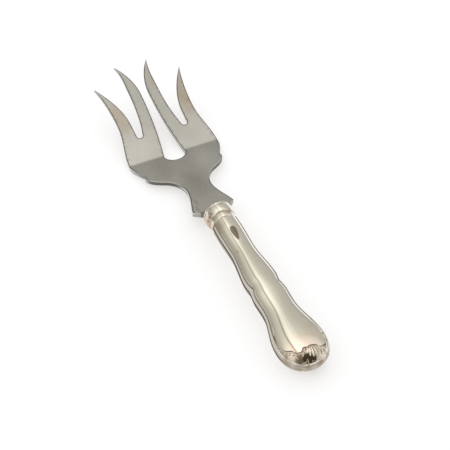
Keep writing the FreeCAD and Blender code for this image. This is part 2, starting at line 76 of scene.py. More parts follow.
def to_frame(points):
    """Turn points about X by the tip angle, then move them by the middle and the lift; mm to metres."""
    points = np.asarray(points, dtype=float)
    cosine, sine = math.cos(TIP_ANGLE), math.sin(TIP_ANGLE)
    along = points[..., 1] * cosine - points[..., 2] * sine - MIDDLE_Y
    up = points[..., 1] * sine + points[..., 2] * cosine + LIFT
    return np.stack([points[..., 0], along, up], axis=-1) * MM


print("the fork's zero is %.2f mm behind the frame's middle and %.2f mm up" % (MIDDLE_Y, LIFT))

# %% [markdown]
# Every new piece is one or more grids of points that share their edges. Points that fall together,
# as at a pole, are merged afterwards, and the faces that have shrunk to nothing are dropped.

# %% Grids into meshes
MERGE_MM = 0.002


def join(*parts, axis=0):
    """Runs or grids of points put end to end."""
    return np.concatenate(parts, axis=axis)


def add_object(name, data):
    """A new object at the origin, linked into the scene."""
    thing = bpy.data.objects.new(name, data)
    scene.collection.objects.link(thing)
    return thing


def grid_faces(rows, columns, first=0, closed=False):
    """The four-cornered faces of a grid whose point (i, j) has the number first + i * columns + j."""
    across = columns if closed else columns - 1
    i, j = np.meshgrid(np.arange(rows - 1), np.arange(across), indexing="ij")
    here = first + i * columns
    following = (j + 1) % columns
    corners = [here + j, here + following, here + columns + following, here + columns + j]
    return np.stack(corners, axis=-1).reshape(-1, 4)


class Shape:
    """Points, faces and their values of wear, painted shade and painted highlight, gathered grid by grid into
    one mesh.
    """

    def __init__(self):
        self.points = []
        self.faces = []
        self.masks = {"dark": [], "warm": [], "bright": []}
        self.count = 0

    def add_points(self, points, masks):
        self.points.append(points)
        for name, parts in self.masks.items():
            parts.append(np.broadcast_to(masks.get(name, 0.0), len(points)))
        self.count += len(points)

    def add_grid(self, points, closed=False, **masks):
        rows, columns = points.shape[:2]
        self.faces.extend(grid_faces(rows, columns, self.count, closed).tolist())
        self.add_points(points.reshape(-1, 3), {name: mask.reshape(-1) for name, mask in masks.items()})

    def add_ngon(self, points):
        self.faces.append(list(range(self.count, self.count + len(points))))
        self.add_points(np.asarray(points), {})

    def build(self, name, material):
        """Make the object, merge its doubles and turn every face outwards."""
        mesh = bpy.data.meshes.new(name)
        mesh.from_pydata(to_frame(join(*self.points)).tolist(), [], self.faces)
        for mask, parts in self.masks.items():
            layer = mesh.attributes.new(mask, "FLOAT", "POINT")
            layer.data.foreach_set("value", join(*parts).astype(np.float32))
        piece = add_object(name, mesh)
        tidy_mesh(mesh)
        mesh.shade_smooth()
        mesh.materials.append(material)
        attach(piece, "root")
        return piece


def tidy_mesh(mesh):
    """Merge points that fall together, drop collapsed faces and point the rest outwards."""
    work = bmesh.new()
    work.from_mesh(mesh)
    bmesh.ops.remove_doubles(work, verts=work.verts, dist=MERGE_MM * MM)
    bmesh.ops.dissolve_degenerate(work, edges=work.edges, dist=MERGE_MM * MM / 4)
    bmesh.ops.recalc_face_normals(work, faces=work.faces)
    open_edges = sum(1 for edge in work.edges if not edge.is_manifold)
    work.to_mesh(mesh)
    work.free()
    print(mesh.name, "has", len(mesh.polygons), "faces and", open_edges, "open edges")


# %% [markdown]
# The head was stamped from flat plate, so its outline is the heart of it. Half of it is enough: each
# run of the edge is a short list of knots, joined by curves that pass every knot along its own slope,
# and the left half is the mirror image. A knot is a half width, a distance from the collar's cap, and
# a slope as a step across and a step along.

# %% The outline of the head
CAP_Y = 90.3


def flow(start, start_slope, stop, stop_slope, count=60):
    """A cubic curve from start to stop whose two handles are a third of the way long."""
    start, leave, stop, arrive = (np.array(part, float) for part in (start, start_slope, stop, stop_slope))
    reach = np.linalg.norm(stop - start) / 3
    poles = [start, start + leave / np.linalg.norm(leave) * reach,
             stop - arrive / np.linalg.norm(arrive) * reach, stop]
    t = np.linspace(0, 1, count)[:, None]
    return ((1 - t) ** 3 * poles[0] + 3 * (1 - t) ** 2 * t * poles[1]
            + 3 * (1 - t) * t ** 2 * poles[2] + t ** 3 * poles[3])


def root_arc(x, low, top, half, count=40):
    """A quarter of an oval, from the lowest point (x, low) of a root up to its side (x + half, top)."""
    angle = np.linspace(0, math.pi / 2, count)
    return np.stack([x + half * np.sin(angle), top - (top - low) * np.cos(angle)], axis=-1)


def chain(*runs):
    """Join runs of points end to end, without the doubled knot between them."""
    return join(runs[0], *(run[1:] for run in runs[1:]))


def from_cap(x, up):
    """A point of the plan, from its distance ahead of the collar's cap."""
    return x, CAP_Y + up


def flowing(*knots):
    """Curves from knot to knot, each given as (half width, distance from the cap, slope)."""
    return chain(*(flow(from_cap(*start[:2]), start[2], from_cap(*stop[:2]), stop[2])
                   for start, stop in zip(knots, knots[1:])))


# The tips, and the round ends of the slot in the middle and of the gap on each side of it
OUTER, INNER = (22.95, 95.4), (8.75, 104.7)
GAP_X, GAP_UP, GAP_HALF = 11.75, 62.3, 1.55
SLOT_UP, SLOT_TOP_UP, SLOT_HALF = 43.9, 48.6, 5.3
FISHTAIL = (10.1, 3.6)
NOTCH_LOW, NOTCH_HIGH = (19.7, 36.9), (19.45, 38.6)
AHEAD = (0, 1)
OUTER_TIP, INNER_TIP = from_cap(*OUTER), from_cap(*INNER)
GAP_Y, SLOT_Y, SLOT_TOP_Y = CAP_Y + GAP_UP, CAP_Y + SLOT_UP, CAP_Y + SLOT_TOP_UP

outer_edge = chain(
    np.linspace(from_cap(5.4, 0), from_cap(*FISHTAIL), 20),
    flowing((*FISHTAIL, (-0.2, 1)), (6.25, 19.0, AHEAD), (12.4, 29.7, (0.88, 0.47)), (*NOTCH_LOW, (0.1, 1))),
    np.linspace(from_cap(*NOTCH_LOW), from_cap(*NOTCH_HIGH), 8),
    flowing((*NOTCH_HIGH, (0.55, 1)), (23.1, 49.2, AHEAD), (19.95, 71.2, AHEAD), (*OUTER, (0.27, 1))),
)
gap_right_edge = chain(
    root_arc(GAP_X, GAP_Y, GAP_Y + GAP_HALF, GAP_HALF),
    flowing((GAP_X + GAP_HALF, GAP_UP + GAP_HALF, AHEAD), (13.4, 70.2, AHEAD), (*OUTER, (0.7, 1))),
)
gap_left_edge = chain(
    root_arc(GAP_X, GAP_Y, GAP_Y + GAP_HALF, -GAP_HALF),
    flowing((GAP_X - GAP_HALF, GAP_UP + GAP_HALF, (-0.26, 1)), (7.6, 87.7, AHEAD), (*INNER, (0.32, 1))),
)
slot_edge = chain(
    root_arc(0, SLOT_Y, SLOT_TOP_Y, SLOT_HALF),
    flowing((SLOT_HALF, SLOT_TOP_UP, (-0.2, 1)), (1.9, 85.7, AHEAD), (*INNER, (0.85, 1))),
)
print("the outline has", sum(map(len, (outer_edge, gap_right_edge, gap_left_edge, slot_edge))), "points")

# %% [markdown]
# From the side the plate falls from the neck to the crease, bends sharply there, and rises straight to
# the tips, thinning all the way. Two functions of the place along the fork hold that: the height of
# its middle, with a short arc in place of the corner, and its thickness.

# %% The side of the head
CREASE_Y = CAP_Y + 49.2
TIP_Y = CAP_Y + 106.0
NECK_Z, CREASE_Z, TIP_Z = -0.5, -7.05, 8.4
THICKNESS_STOPS = (2.6, 1.9, 1.3)
BEND_REACH = 0.8


def plate_height(y):
    """Two straight lines that meet at the crease, with a parabola over the last reach on each side."""
    fall = (CREASE_Z - NECK_Z) / (CREASE_Y - CAP_Y)
    rise = (TIP_Z - CREASE_Z) / (TIP_Y - CREASE_Y)
    from_crease = y - CREASE_Y
    straight = CREASE_Z + np.where(from_crease < 0, fall, rise) * from_crease
    inside = np.clip(1 - np.abs(from_crease) / BEND_REACH, 0, 1)
    return straight + (rise - fall) * BEND_REACH / 4 * inside ** 2


def plate_thickness(y):
    """Straight between its values at the cap, the crease and the tips."""
    return np.interp(y, (CAP_Y, CREASE_Y, TIP_Y), THICKNESS_STOPS)


# %% [markdown]
# The plate's rim is softly rounded. Each run of the edge is carried inwards by its own sideways
# normal, so the rounding keeps its width round every bend, and near the points of the tines the
# rounding shrinks with the tine. A rim is then a grid: along the edge one way, and over the top
# corner, down the side and round the bottom corner the other way.

# %% The rim of the plate
def smooth(low, high, value):
    """0 below low, 1 above high, and 3s^2 - 2s^3 between them."""
    share = np.clip((value - low) / (high - low), 0, 1)
    return share * share * (3 - 2 * share)


RIM_RADIUS = 0.36
RIM_STEPS = 6
RIM_LEDGE = 0.25
WALL_STEP = 0.12
TIP_RADIUS, RADIUS_GROWTH = 0.02, 0.055
FISHTAIL_END_Y = CAP_Y + 6
RING_HALF, RING_CLEAR = 6.9, 7.8
# How far the painted shade by the collar reaches along the plate
GAP_SHADE_FULL_Y, GAP_SHADE_END_Y = CAP_Y + 1.2, CAP_Y + 3.2


def sideways(edge):
    """Unit normals of a run of points, a quarter turn to the left of its direction."""
    run = np.gradient(edge, axis=0)
    if abs(run[0, 0]) > 4 * abs(run[0, 1]):
        run[0, 1] = 0
    run /= np.linalg.norm(run, axis=1)[:, None]
    return np.stack([-run[:, 1], run[:, 0]], axis=-1)


def rim_profile():
    """Shares of the rounding: how far in from the edge, and how far down from the top face."""
    angle = np.linspace(0, math.pi / 2, RIM_STEPS + 1)
    inwards = join([1 + RIM_LEDGE / RIM_RADIUS], 1 - np.sin(angle), [0])
    down = join([0], 1 - np.cos(angle), [1 + WALL_STEP / RIM_RADIUS])
    return inwards, down


def rim_highlight_and_shade(edge, inside, rows):
    """Where a rim is painted dark and where painted bright, step by step from the top ledge: a painted dark
    line along a tine's corner and a painted highlight on the wall below it, and the other way round where the
    wall faces the handle: a painted highlight on the corner and painted shade on the wall."""
    towards_handle = inside * sideways(edge)[:, 1]
    facing = at_rows(edge, rows, smooth(0.1, 0.7, towards_handle)[:, None])
    step = np.arange(RIM_STEPS + 3)[None, :]
    corner = np.where(step == 0, 0.3, 1.0) * (step <= 4)
    handle_side_shade = np.where(rows < FISHTAIL_END_Y, 0.35, 0.9)[:, None]
    dark = np.maximum(0.95 * (1 - facing) * corner, handle_side_shade * facing * (step >= 4))
    bright = np.maximum((1 - facing) * (step >= 6), 0.8 * facing * (step >= 1) * (step <= 2))
    below = np.maximum(dark[:, ::-1], 0.9 * (1 - facing) * (step[:, ::-1] >= 5))
    return join(dark, below, axis=1), join(bright, 0 * bright, axis=1)


def gap_shade(grid):
    """Painted shade on the plate where it enters the collar."""
    near_ring = 1 - smooth(RING_HALF, RING_CLEAR, np.abs(grid[..., 0]))
    return 0.8 * near_ring * (1 - smooth(GAP_SHADE_FULL_Y, GAP_SHADE_END_Y, grid[..., 1]))


def rim_radius(edge, tip):
    """The rounding at each point: it shrinks towards the tip so that two rims never meet."""
    from_tip = np.linalg.norm(edge - np.array(tip), axis=1)
    return np.minimum(RIM_RADIUS, TIP_RADIUS + RADIUS_GROWTH * from_tip)


def offset_edge(edge, inside, tip, share):
    """The edge carried inwards by a share of its rounding."""
    return edge + inside * sideways(edge) * (share * rim_radius(edge, tip))[:, None]


def at_rows(curve, rows, values):
    """Values along a curve that climbs in y, read off where it crosses each row."""
    climbing = np.maximum.accumulate(curve[:, 1] + np.arange(len(curve)) * 1e-9)
    place = np.interp(rows, climbing, np.arange(len(curve)))
    return np.stack([np.interp(place, np.arange(len(values)), column) for column in values.T], axis=-1)


def rim_rows(edge, inside, tip, rows):
    """Grid points (row, step, xyz) of one rim, from the top ledge round to the bottom ledge."""
    inwards, down = rim_profile()
    ledge = offset_edge(edge, inside, tip, inwards[0])
    radius = at_rows(ledge, rows, rim_radius(edge, tip)[:, None])[:, 0]
    lines = [(at_rows(ledge, rows, offset_edge(edge, inside, tip, share)), radius * depth)
             for share, depth in zip(inwards, down)]
    top = [with_height(line, depth, 1) for line, depth in lines]
    bottom = [with_height(line, depth, -1) for line, depth in reversed(lines)]
    return np.stack(top + bottom, axis=1)


def with_height(plan, depth, face):
    """Put points of the plan on the top face (1) or the bottom face (-1) of the plate, less the depth."""
    y = plan[..., 1]
    z = plate_height(y) + face * (plate_thickness(y) / 2 - depth)
    return join(plan, z[..., None], axis=-1)


# %% [markdown]
# Between the rims lie the flat faces. Each tine is a strip that runs all the way back to the neck, in
# straight rows from its left edge to its right, and two neighbours share one line below the root of
# the gap between them. The rows stand close together where an edge turns quickly: at the crease, the
# notch, and the round ends of the slot and the gaps.

# %% Rows along the head
def crowded(start, stop, count):
    """Rows that start close together and spread out, as a circle's height does from its lowest point."""
    angle = np.linspace(0, math.pi / 2, count)
    return start + (stop - start) * (1 - np.cos(angle))


LEDGE = RIM_RADIUS + RIM_LEDGE
base_rows = join(
    np.linspace(CAP_Y + 0.3, CAP_Y + 3.9, 12), np.linspace(CAP_Y + 4.2, CAP_Y + 36, 70),
    np.linspace(CAP_Y + 36.2, CAP_Y + 39.5, 24), np.linspace(CAP_Y + 39.9, SLOT_Y - LEDGE, 10),
)
slot_rows = join(
    crowded(SLOT_Y - LEDGE, SLOT_TOP_Y - 1, 24)[1:],
    np.linspace(SLOT_TOP_Y - 0.9, CREASE_Y + 1.2, 24),
    np.linspace(CREASE_Y + 1.7, GAP_Y - LEDGE, 22),
)
gap_rows = crowded(GAP_Y - LEDGE, GAP_Y + 1.4, 16)[1:]
outer_rows = join(gap_rows, OUTER_TIP[1] - crowded(0, OUTER_TIP[1] - GAP_Y - 1.7, 70)[::-1])
inner_rows = join(gap_rows, INNER_TIP[1] - crowded(0, INNER_TIP[1] - GAP_Y - 1.7, 80)[::-1])
print("rows to the outer tip", len(base_rows) + len(slot_rows) + len(outer_rows))


# %% [markdown]
# The right half is built first, top and bottom alike, and the left half is the same set of grids
# mirrored. One flat face per half closes the back end, and the tang that holds the head in the handle
# is a tapering bar behind it.

# %% Build the head
STRIP_COLUMNS = 7
TANG_BACK_Y, TANG_FRONT_Y = CAP_Y - 48.0, CAP_Y + 0.6
TANG_WIDE, TANG_NARROW, TANG_THICK = 8.0, 4.0, 2.2

edges = {
    "outer": (outer_edge, 1, OUTER_TIP), "gap_right": (gap_right_edge, -1, OUTER_TIP),
    "gap_left": (gap_left_edge, 1, INNER_TIP), "slot": (slot_edge, -1, INNER_TIP),
}


def ledge_line(name, rows):
    """Where the flat face ends beside one run of the edge, at each row."""
    edge, inside, tip = edges[name]
    ledge = offset_edge(edge, inside, tip, 1 + RIM_LEDGE / RIM_RADIUS)
    return at_rows(ledge, rows, ledge)


def strip(left, right):
    """Grid points of a flat strip between two lines of the plan, row by row."""
    share = np.linspace(0, 1, STRIP_COLUMNS)[None, :, None]
    return left[:, None, :] * (1 - share) + right[:, None, :] * share


def closed_at(grid, tip):
    """The grid with one more row, shrunk to the tip of the tine."""
    return join(grid, np.broadcast_to([*tip, plate_height(tip[1])], grid[-1:].shape))


shared_rows = join(base_rows, slot_rows)
seam_share = GAP_X / ledge_line("outer", slot_rows[-1:])[0, 0]
seam = np.column_stack([ledge_line("outer", shared_rows)[:, 0] * seam_share, shared_rows])
middle = np.column_stack([np.zeros(len(base_rows)), base_rows])
inner_left = join(middle, ledge_line("slot", join(slot_rows, inner_rows)))
inner_right = join(seam, ledge_line("gap_left", inner_rows))
outer_left = join(seam, ledge_line("gap_right", outer_rows))
outer_right = ledge_line("outer", join(shared_rows, outer_rows))

# The first row leans back to the cap in the middle, where the fishtail's edge starts
inner_left[0, 1] = CAP_Y
inner_right[0] = outer_left[0] = [outer_right[0, 0] * seam_share,
                                  CAP_Y + (outer_right[0, 1] - CAP_Y) * seam_share]

head_grids = []
for left, right, tip in ((inner_left, inner_right, INNER_TIP), (outer_left, outer_right, OUTER_TIP)):
    head_grids += [closed_at(with_height(strip(left, right), 0.0, face), tip) for face in (1, -1)]
rim_sets = (
    ("outer", join(shared_rows, outer_rows)),
    ("gap_right", join(slot_rows[-1:], outer_rows)),
    ("gap_left", join(slot_rows[-1:], inner_rows)),
    ("slot", join(base_rows[-1:], slot_rows, inner_rows)),
)
rim_masks = []
for name, rows in rim_sets:
    edge, inside, tip = edges[name]
    head_grids.append(closed_at(rim_rows(edge, inside, tip, rows), tip))
    rim_masks.append([join(mask, mask[-1:]) for mask in rim_highlight_and_shade(edge, inside, rows)])
inner_top, inner_bottom, outer_top, outer_bottom, outer_rim = head_grids[:5]
back_wall = join(
    inner_top[0], outer_top[0][1:], outer_rim[0][1:-1], outer_bottom[0][::-1], inner_bottom[0][::-1][1:],
)

tang_y = np.array([TANG_BACK_Y, CAP_Y, TANG_FRONT_Y])
tang_half = np.array([TANG_NARROW, TANG_WIDE, TANG_WIDE]) / 2
corner_x = np.array([1, 1, -1, -1])
corner_z = np.array([-1, 1, 1, -1]) * TANG_THICK / 2 + NECK_Z
tang_grid = np.stack(np.broadcast_arrays(tang_half[:, None] * corner_x, tang_y[:, None], corner_z), axis=-1)


def build_head(material):
    shape = Shape()
    for side in (1, -1):
        mirror = np.array([side, 1, 1])
        # The faces carry painted shade by the collar, and the rims their painted highlights and shade as well
        for grid in head_grids[:4]:
            shape.add_grid(grid * mirror, dark=gap_shade(grid))
        for grid, (dark, bright) in zip(head_grids[4:], rim_masks):
            shape.add_grid(grid * mirror, dark=np.maximum(dark, gap_shade(grid)), bright=bright)
        shape.add_ngon(back_wall * mirror)
    shape.add_grid(tang_grid, closed=True)
    shape.add_ngon(tang_grid[0])
    shape.add_ngon(tang_grid[-1])
    return shape.build("fork_head_plate", material)


print("the head is", len(head_grids) * 2, "grids")

# %% [markdown]
# The handle's outside is a superellipse, an oval with slightly square shoulders, whose width and
# depth change along the length. Each is a short list of waists and swells, passed with no slope at
# each, and the end closes like a quarter of an oval.

# %% The handle's width and depth
HANDLE_END_Y = 82.0
CLOSING_Y = 12.5
WIDTH_STOPS = ((12.5, 10.95), (31.0, 7.5), (38.0, 7.7), (43.5, 7.15), (46.5, 7.45), (64.0, 5.7), (75.5, 6.0),
               (82.0, 5.8))
DEPTH_STOPS = ((12.5, 5.3), (31.0, 4.9), (46.5, 5.2), (64.0, 5.0), (82.0, 5.7))
SECTION_FULLNESS = 2.2
SHELL_WALL = 0.6


def eased(stops, y):
    """Between two stops the value follows half a cosine wave, so it is level at each stop."""
    places = np.array([place for place, value in stops])
    values = np.array([value for place, value in stops])
    index = np.clip(np.searchsorted(places, y) - 1, 0, len(stops) - 2)
    share = np.clip((y - places[index]) / (places[index + 1] - places[index]), 0, 1)
    return values[index] + (values[index + 1] - values[index]) * (1 - np.cos(np.pi * share)) / 2


def end_rounding(y, fullness):
    """From 0 at the tip to 1 where the closing starts: (1 - (1 - y / c) ** n) ** (1 / n)."""
    left = np.clip(1 - y / CLOSING_Y, 0, 1)
    return (1 - left ** fullness) ** (1 / fullness)


def half_width(y):
    return eased(WIDTH_STOPS, y) * end_rounding(y, 2.1)


def half_depth(y):
    return eased(DEPTH_STOPS, y) * end_rounding(y, 2.0)


def hull(angle, y, inset=0.0):
    """x = a cos^p, z = b sin^p with p = 2 / fullness, for angles from the right seam over the top."""
    power = 2 / SECTION_FULLNESS
    x = (half_width(y) - inset) * np.sign(np.cos(angle)) * np.abs(np.cos(angle)) ** power
    z = (half_depth(y) - inset) * np.abs(np.sin(angle)) ** power
    return np.stack([x, y + 0 * x, z], axis=-1)


widths = 2 * half_width(np.array([12.5, 64.0]))
print("the handle is %.1f mm wide at its end and %.1f mm at its waist" % tuple(widths))

# %% [markdown]
# The die that struck each half of the handle gave it a thread border: a broad bead beside the seam, a
# sharp groove, a narrow lip, and then the smooth panel. The border keeps its height above the seam, so
# it wraps round the end of the handle as well, and at the knuckle it points inwards in a small cusp.
# It is a height added along the surface's normal.

# %% The thread border
BEAD_HEIGHT = 0.28
LIP_HEIGHT = 0.16
PANEL_RISE = 0.12
GROOVE_DEPTH = 0.20
GROOVE_WIDTH = 0.035
END_LEVEL = -0.25
GROOVE_LOW, GROOVE_RISE = 0.40, 0.10
KNUCKLE_Y, CUSP_RISE, CUSP_REACH = 42.2, 0.13, 1.8

# The edge of the raised panel round the handle's end, in plan: down the left, along the cusp and the
# scoop, round the scroll, over the tops of the shell's leaves, and up the right
PANEL_EDGE = np.array((
    (-9.3, 12.5), (-8.9, 10.9), (-8.1, 9.7), (-7.0, 8.95), (-6.2, 8.6), (-5.5, 7.4), (-4.4, 6.7),
    (-3.2, 6.5), (-2.6, 6.9), (-2.2, 7.5), (-1.5, 7.8), (-0.6, 7.6), (0.1, 7.3), (0.8, 7.75), (2.1, 7.6),
    (3.5, 7.3), (4.3, 6.6), (5.2, 6.0), (6.7, 6.3), (7.8, 6.7), (8.7, 7.9), (9.2, 9.5), (9.5, 12.0),
))


def dome(away, fullness=2):
    """A rounded top, 1 in its middle and 0 from 1 on: (1 - away ** fullness) ** 0.5."""
    return np.sqrt(np.clip(1 - np.abs(away) ** fullness, 0, 1))


def bead_arch(share, low, high, fullness=2):
    """The top of a bead that lies between two shares of the depth."""
    return dome((2 * share - low - high) / (high - low), fullness)


def groove_share(y):
    """Height of the groove as a share of the depth: lower round the end, and peaked at the knuckle."""
    cusp = np.exp(-np.abs(y - KNUCKLE_Y) / CUSP_REACH)
    return GROOVE_LOW + GROOVE_RISE * smooth(8, 18, y) + CUSP_RISE * cusp


def under_edge(x, y):
    """How far a place lies on the end's side of the panel's edge, in mm along Y."""
    return np.interp(x, PANEL_EDGE[:, 0], PANEL_EDGE[:, 1]) - y


def groove_line(share, y, width=GROOVE_WIDTH):
    """1 in the groove's middle, falling off on both sides as a bell curve."""
    return np.exp(-((share - groove_share(y)) / width) ** 2)


def thread_height(share, x, y):
    """Height of the border and panel at a share of the depth above the seam, 0 at it and 1 on top."""
    groove = groove_share(y)
    bead = BEAD_HEIGHT * bead_arch(share, 0.02, groove - 0.02, 4)
    lip = LIP_HEIGHT * bead_arch(share, groove + 0.03, groove + 0.11) * smooth(11, 15, y)
    panel = PANEL_RISE * smooth(groove + 0.03, groove + 0.15, share)
    inside = smooth(groove, groove + 0.05, share)
    lowered = smooth(-0.1, 0.35, under_edge(x, y)) * (1 - smooth(CLOSING_Y, 15.0, y)) * inside
    hollow = HOLLOW_DEPTH * hollow_share(x, y)
    field = np.maximum(lip, panel) * (1 - lowered) + (END_LEVEL - hollow) * lowered
    return bead + field - GROOVE_DEPTH * groove_line(share, y)


# %% [markdown]
# At the handle's end the panel stops at an edge like a torn leaf's, and below it lies a dark hollow.
# Seven pointed leaves fan down over the hollow from one place under the edge, beside a small scroll.
# One rib follows the edge from the border down the left, and others frame the hollow. Each leaf and
# rib is a round bar along a short path in plan, whose height falls off with the distance from it.

# %% The leaves and ribs
LEAVES = (
    ((-0.1, 6.8), (-0.9, 5.8), (-1.5, 4.9)),
    ((0.7, 7.1), (0.0, 5.3), (-0.8, 3.5)),
    ((1.4, 7.2), (1.1, 5.0), (0.5, 2.8)),
    ((2.1, 7.2), (2.4, 4.9), (2.3, 2.5)),
    ((2.9, 7.1), (3.7, 5.1), (4.1, 3.0)),
    ((3.7, 6.8), (4.9, 5.2), (5.7, 3.6)),
    ((4.5, 6.3), (6.0, 5.2), (7.0, 4.3)),
)
LEAF_WIDTHS = (0.30, 0.48, 0.62, 0.64, 0.50, 0.10)
LEAF_HEIGHT = 0.60
RIBS = (
    ((-8.8, 18.5), (-9.3, 15.0), (-9.5, 12.4), (-9.1, 10.6), (-8.3, 9.2), (-7.3, 8.4), (-6.3, 7.9),
     (-5.8, 6.9), (-5.3, 6.1)),
    ((-6.3, 6.5), (-5.9, 5.7), (-5.4, 4.5), (-5.0, 3.4), (-4.6, 2.6), (-3.9, 2.3), (-2.9, 2.5)),
    ((-2.5, 5.9), (-3.1, 5.1), (-3.4, 4.7)),
    ((-8.9, 7.4), (-8.6, 8.1), (-8.0, 8.2), (-7.6, 7.7)),
    ((9.3, 12.5), (9.2, 10.2), (8.9, 8.4), (8.3, 6.6), (7.5, 5.2), (6.7, 4.0), (5.9, 3.0)),
    ((-2.2, 2.9), (-2.3, 2.2), (-2.4, 1.5)),
)
RIB_WIDTH, RIB_HEIGHT = 0.34, 0.55
# Each knob as its place in plan, its radius and its height
KNOBS = ((-1.65, 6.85, 0.62, 0.60), (-0.5, 1.8, 0.45, 0.40), (4.4, 1.6, 0.45, 0.40), (0.3, 1.6, 0.35, 0.35))
# The hollow's two ovals as their place in plan and their half axes, the first one tilted by a slope
HOLLOW, HOLLOW_LEFT = (-1.4, 3.2, 3.1, 2.1), (-4.0, 4.0, 3.2, 2.2)
HOLLOW_SLOPE, HOLLOW_DEPTH = 0.12, 0.25


def oval_share(x, y, oval):
    """Distance from the middle of an oval, in shares of its half axes."""
    return np.hypot((x - oval[0]) / oval[2], (y - oval[1]) / oval[3])


def hollow_share(x, y):
    """1 in the hollow's middle, 0 outside an oval round it, and half way on the left of the middle."""
    middle = 1 - smooth(0.75, 1.2, oval_share(x, y + HOLLOW_SLOPE * (x + 1.6), HOLLOW))
    left = 1 - smooth(0.7, 1.2, oval_share(x, y, HOLLOW_LEFT))
    return np.maximum(middle, 0.6 * left)


def bar(x, y, path, widths, height):
    """A round bar's height: height * (1 - (distance / width)^2) ** 0.5, with a width for each knot."""
    best = np.zeros_like(x)
    path = np.array(path, float)
    widths = np.broadcast_to(widths, len(path))
    for (start, stop, wide_start, wide_stop) in zip(path, path[1:], widths, widths[1:]):
        run = stop - start
        share = np.clip(((x - start[0]) * run[0] + (y - start[1]) * run[1]) / (run @ run), 0, 1)
        away = np.hypot(x - start[0] - share * run[0], y - start[1] - share * run[1])
        width = wide_start + (wide_stop - wide_start) * share
        top = height * np.minimum(1, width / 0.3)
        best = np.maximum(best, top * dome(away / width))
    return best


def curve_through(knots, count):
    """Points of a smooth path that runs through all the knots, by Catmull and Rom's rule."""
    knots = np.array(knots, float)
    ends = join([2 * knots[0] - knots[1]], knots, [2 * knots[-1] - knots[-2]])
    place = np.linspace(0, len(knots) - 1 - 1e-9, count)
    index = place.astype(int)
    t = (place - index)[:, None]
    a, b, c, d = (ends[index + k] for k in range(4))
    bend = (2 * a - 5 * b + 4 * c - d) * t ** 2 + (3 * b - a - 3 * c + d) * t ** 3
    return 0.5 * (2 * b + (c - a) * t + bend)


def ornament_height(x, y):
    """The highest of the leaves, ribs and knobs above each point of the plan."""
    leaves = [bar(x, y, curve_through(knots, len(LEAF_WIDTHS)), LEAF_WIDTHS, LEAF_HEIGHT) for knots in LEAVES]
    ribs = [bar(x, y, curve_through(knots, 6 * len(knots)), RIB_WIDTH, RIB_HEIGHT) for knots in RIBS]
    knobs = [height * dome(oval_share(x, y, (knob_x, knob_y, radius, radius)))
             for knob_x, knob_y, radius, height in KNOBS]
    return np.maximum.reduce(leaves + ribs + knobs)


# %% Build the handle's two halves
ANGLE_COLUMNS = 281
CORE_COLUMNS = 25
ROWS_END, ROWS_SHAFT = 150, 160
CORE_TIP_Y = 2 * SHELL_WALL
END_TIP = 0.05
DROP_POINT_Y, DROP_ROUND_Y, DROP_HALF, DROP_LEAN, DROP_DARK = 67.8, 75.8, 1.955, 0.35, 0.72


def handle_rows():
    """Places along the handle, crowded towards the rounded tip and even along the shaft."""
    angle = np.linspace(math.acos(1 - END_TIP / CLOSING_Y), math.pi / 2, ROWS_END)
    closing = CLOSING_Y * (1 - np.cos(angle))
    return join(closing, np.linspace(CLOSING_Y, HANDLE_END_Y, ROWS_SHAFT)[1:])


def outward_normals(points):
    """Unit normals of a grid from the cross product of its two directions."""
    along = np.gradient(points, axis=0)
    round_about = np.gradient(points, axis=1)
    normal = np.cross(round_about, along)
    length = np.linalg.norm(normal, axis=-1, keepdims=True)
    return normal / np.maximum(length, 1e-9)


def teardrop(x, y):
    """A drop-shaped mask for a painted dark reflection of a shallow dent, round towards the collar and drawn
    out to a point at the other end.
    """
    along = (y - DROP_POINT_Y) / (DROP_ROUND_Y - DROP_POINT_Y)
    width = DROP_HALF * np.sqrt(np.clip(along * (1 - along ** 5), 0, 1))
    return smooth(-0.1, 0.25, width - np.abs(x - DROP_LEAN * (along - 0.5)))


def handle_wear_and_shade(share, x, y, raised):
    """Dark and warm values: tarnish stays in the hollows and on the low ground round the leaves, whose tops
    are bare; the dark lines along the panel's edge, in the groove and along the seam, and the darker, warmer
    bead beside the seam, darkest round the end, are painted shade.
    """
    past_groove = share - groove_share(y)
    below = under_edge(x, y)
    inside = smooth(0.02, 0.08, past_groove)
    low_ground = smooth(0.05, 0.2, below) * (1 - smooth(10.5, 13.5, y)) * inside
    bare = 1 - smooth(0.22, 0.48, raised)
    foot_of_edge = low_ground * (1 - smooth(0.4, 0.8, below))
    under_leaves = smooth(0.0, 0.05, raised) * low_ground
    sheltered = np.maximum(hollow_share(x, y), 0.75 * np.maximum(foot_of_edge, under_leaves))
    edge_line = np.exp(-((below - 0.12) / 0.16) ** 2) * inside * (1 - smooth(12.0, 14.0, y))
    on_bead = 1 - smooth(-0.04, 0.0, past_groove)
    seam = (1 - smooth(0.05, 0.17, share)) * smooth(4.0, 12.0, y)
    groove = groove_line(share, y, 0.05) * smooth(8.0, 22.0, y)
    # The bead beside the seam is painted darker and warmer: painted shade, darkest round the end
    bead_shade = (0.38 - 0.06 * smooth(10, 20, y)) * on_bead
    dark = np.maximum.reduce([sheltered * bare * low_ground, 0.85 * edge_line, groove, seam, bead_shade])
    return dark, np.maximum(0.6 * low_ground * bare, 0.5 * on_bead)


def handle_half_grid():
    """The struck outside of one half, from the right seam over the top to the left, and its wear and painted
    shade.
    """
    y = handle_rows()[:, None]
    angle = np.linspace(0, math.pi, ANGLE_COLUMNS)[None, :]
    points = hull(angle, y)
    normals = outward_normals(points)
    normals[:, 0, 2] = normals[:, -1, 2] = 0
    share = points[..., 2] / eased(DEPTH_STOPS, np.maximum(y, CLOSING_Y))
    across, along = points[..., 0], y + 0 * angle
    raised = ornament_height(across, along)
    height = (thread_height(share, across, along) + raised) * smooth(0.0, 1.6, y)
    return (points + normals * height[..., None], *handle_wear_and_shade(share, across, along, raised))


